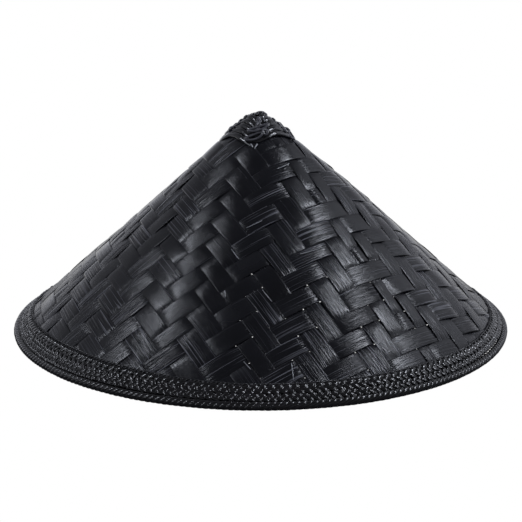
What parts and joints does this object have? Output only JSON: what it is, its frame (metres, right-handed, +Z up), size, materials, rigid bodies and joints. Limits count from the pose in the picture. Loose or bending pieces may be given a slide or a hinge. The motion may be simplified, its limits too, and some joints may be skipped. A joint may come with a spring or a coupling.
{
  "type": "conical hat",
  "caption": "Conical hat of black plaited bamboo splints with a braided and wrapped brim edge, a lashed tip and a bamboo head band inside.",
  "frame": {"origin": "centre of the plane that the brim rests on", "axes": "+Z up through the tip, the front faces -Y"},
  "size_m": [0.4, 0.4, 0.173],
  "materials": {
    "black_bamboo_splint": "semi-gloss black lacquer over split bamboo",
    "black_bamboo_hoop": "satin black lacquer over bamboo",
    "black_cane_braid": "satin black lacquer over plaited cane",
    "black_cane_strand": "satin black lacquer over cane strand",
    "black_cord": "matte twisted cord",
    "bare_bamboo": "plain bamboo, unpainted",
    "bare_cane": "plain cane, unpainted"
  },
  "bodies": {
    "root": {"woven_crown": "black_bamboo_splint", "rim_hoop": "black_bamboo_hoop", "rim_braid": "black_cane_braid", "rim_seam_cord": "black_cord", "rim_edge_cane": "bare_cane", "rim_edge_wrap": "black_cane_braid", "rim_ties": "black_cord", "apex_lashing": "black_cane_strand", "apex_knob": "black_cane_strand", "apex_knots_front": "black_cane_strand", "apex_knots_right": "black_cane_strand", "apex_knots_back": "black_cane_strand", "apex_knots_left": "black_cane_strand", "head_band": "bare_bamboo", "head_band_stitches": "bare_cane", "head_band_ties": "black_cord"}
  },
  "joints": []
}
